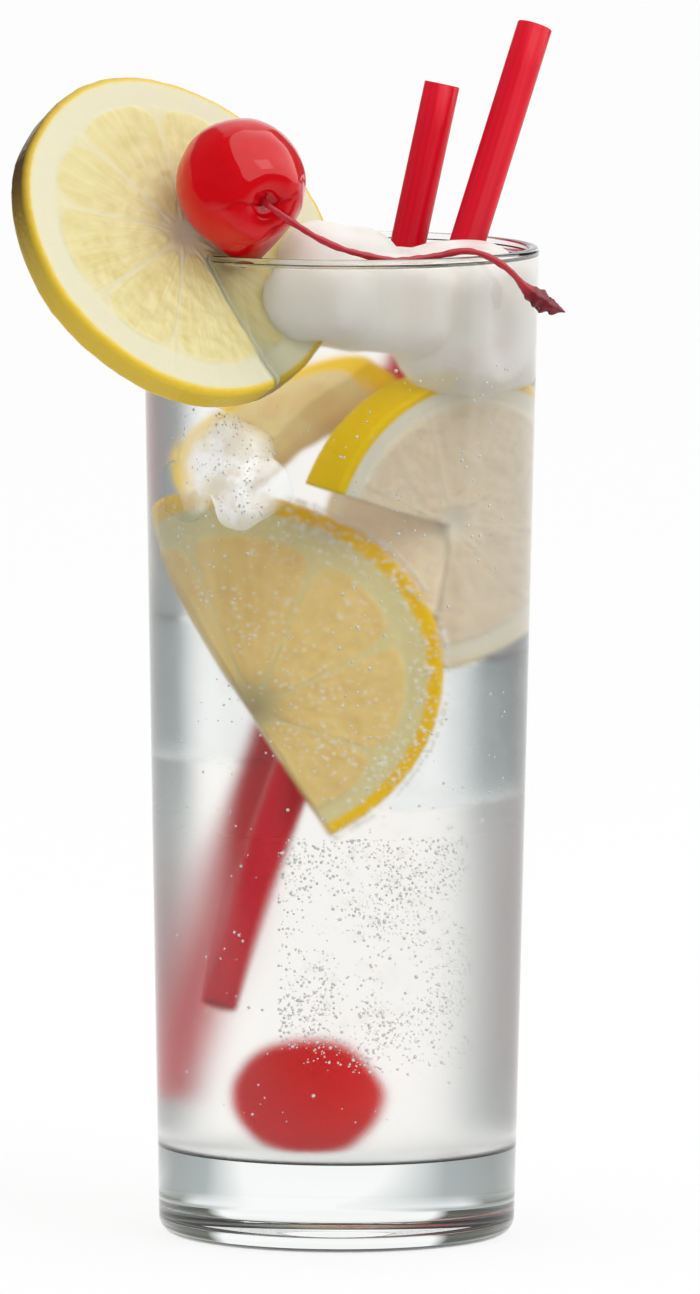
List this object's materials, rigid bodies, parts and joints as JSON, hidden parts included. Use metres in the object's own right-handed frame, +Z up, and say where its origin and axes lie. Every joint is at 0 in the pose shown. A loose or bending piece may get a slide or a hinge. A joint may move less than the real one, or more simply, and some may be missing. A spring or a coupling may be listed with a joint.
{
  "type": "glass of tom collins",
  "caption": "Tall iced lemon drink in a straight tapered tumbler, with straws, a lemon wheel slit over the rim, a stemmed cherry and ice standing out of the drink.",
  "frame": {"origin": "middle of the tumbler's foot, on the surface it stands on", "axes": "+Z up the glass, -Y the front, +X to the right seen from the front"},
  "size_m": [0.0831, 0.0708, 0.1863],
  "materials": {
    "glass": "clear fire-polished soda-lime glass",
    "drink": "clear sparkling lemon drink",
    "straw": "red extruded polypropylene",
    "lemon": "fresh cut lemon",
    "cherry": "wet syruped cherry skin",
    "stem": "dyed cherry stalk",
    "ice": "wet cloudy ice"
  },
  "bodies": {
    "root": {"glass": "glass", "drink": "drink", "straw_short": "straw", "straw_tall": "straw", "lemon_wheel": "lemon", "cherry": "cherry", "cherry_stem": "stem", "ice_middle": "ice", "ice_right": "ice"}
  },
  "joints": []
}
